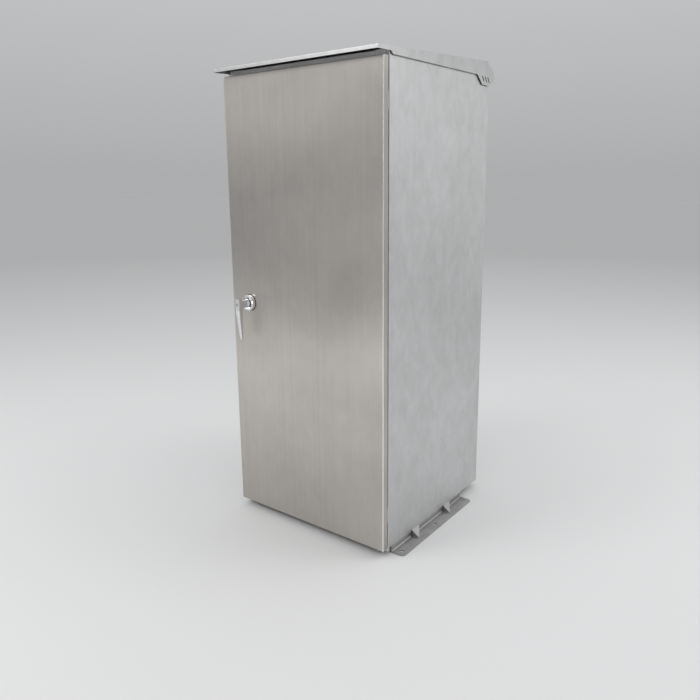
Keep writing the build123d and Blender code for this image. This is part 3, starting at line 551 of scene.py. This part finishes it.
floor_mesh = bpy.data.meshes.new("floor")
corners = [(x * FLOOR_REACH, y * FLOOR_REACH, 0) for x, y in ((-1, -1), (1, -1), (1, 1), (-1, 1))]
floor_mesh.from_pydata(corners, [], [(0, 1, 2, 3)])
floor = bpy.data.objects.new("floor", floor_mesh)
scene.collection.objects.link(floor)
g = Graph("floor")
# Painted falloff of light: the floor's colour darkens with distance from the cabinet
away = g.span(g.distance(), 0.0, 1.0, *FLOOR_FADE)
g.set(Base_Color=g.ramp(away, (0.0, FLOOR_NEAR), (1.0, FLOOR_FAR)), Roughness=FLOOR_ROUGH)
floor_mesh.materials.append(g.material)

SKY = ((0.02, 0.42), (0.75, 0.78))  # (rise of the line of sight, level)
SKY_TINT = (0.99, 1.0, 1.01)

world = bpy.data.worlds.new("studio")
scene.world = world
world.use_nodes = True
sky = world.node_tree.nodes
rise = sky.new("ShaderNodeSeparateXYZ")
shade = sky.new("ShaderNodeValToRGB")
for element, (place, level) in zip(shade.color_ramp.elements, SKY):
    element.position = place
    element.color = (*(level * t for t in SKY_TINT), 1)
world.node_tree.links.new(sky.new("ShaderNodeTexCoord").outputs["Generated"], rise.inputs["Vector"])
world.node_tree.links.new(rise.outputs["Z"], shade.inputs["Fac"])
world.node_tree.links.new(shade.outputs["Color"], sky["Background"].inputs["Color"])
sky["Background"].inputs["Strength"].default_value = 1.0

# Lights, in metres and watts

NARROW = 70  # degrees of spread, so that a low panel leaves no streak on the floor


def softbox(name, place, target, size, power, spread=180):
    """A rectangular lamp that faces a target; size is its width and height."""
    lamp = bpy.data.lights.new(name, "AREA")
    lamp.shape = "RECTANGLE"
    lamp.size, lamp.size_y = size
    lamp.energy = power
    lamp.spread = math.radians(spread)
    o = bpy.data.objects.new(name, lamp)
    scene.collection.objects.link(o)
    o.location = place
    o.rotation_euler = (Vector(target) - Vector(place)).to_track_quat("-Z", "Y").to_euler()


softbox("front", (-1.6, -2.7, 2.8), (-1.3, -2.2, 0), size=(1.6, 1.6), power=44)
softbox("strip", (-2.5, -3.1, 1.6), (0, -0.26, 1.25), size=(2.4, 0.4), power=2.0)
softbox("upper", (-0.38, -1.4, 0.87), (0.3, -0.26, 0.87), size=(0.7, 0.23), power=0.03, spread=NARROW)
softbox("lower", (-0.48, -1.4, 0.22), (0.3, -0.26, 0.45), size=(0.9, 0.30), power=0.065, spread=NARROW)
softbox("side", (2.7, 1.6, 2.7), (1.7, 1.6, 0), size=(2.0, 2.0), power=34)
softbox("flank", (1.7, 2.4, 1.15), (0.3, 0.05, 0.9), size=(1.6, 1.3), power=0.46, spread=NARROW)
softbox("edge", (2.0, -2.7, 1.0), (0.3, -0.28, 0.75), size=(0.5, 1.8), power=0.75, spread=NARROW)
softbox("top", (0.2, 0.2, 4.6), (0, 0, 1.4), size=(3.4, 3.4), power=15)

# Camera at the photograph's angle

CAMERA_PLACE = (1.28555, -1.65172, 1.07884)
CAMERA_YAW, CAMERA_PITCH, CAMERA_ROLL = (math.radians(a) for a in (35.407, 11.860, 0.049))
FOCAL_LENGTH = 32.748
SENSOR_WIDTH = 36.0
LENS_SHIFT = (-0.0465, -0.040)
FARTHEST = 200.0

lens = bpy.data.cameras.new("camera")
lens.sensor_width = SENSOR_WIDTH
lens.lens = FOCAL_LENGTH
lens.shift_x, lens.shift_y = LENS_SHIFT
lens.clip_end = FARTHEST
camera = bpy.data.objects.new("camera", lens)
scene.collection.objects.link(camera)
camera.matrix_world = (
    Matrix.Translation(CAMERA_PLACE)
    @ Matrix.Rotation(CAMERA_YAW, 4, "Z")
    @ Matrix.Rotation(math.pi / 2 - CAMERA_PITCH, 4, "X")
    @ Matrix.Rotation(CAMERA_ROLL, 4, "Z")
)
scene.camera = camera
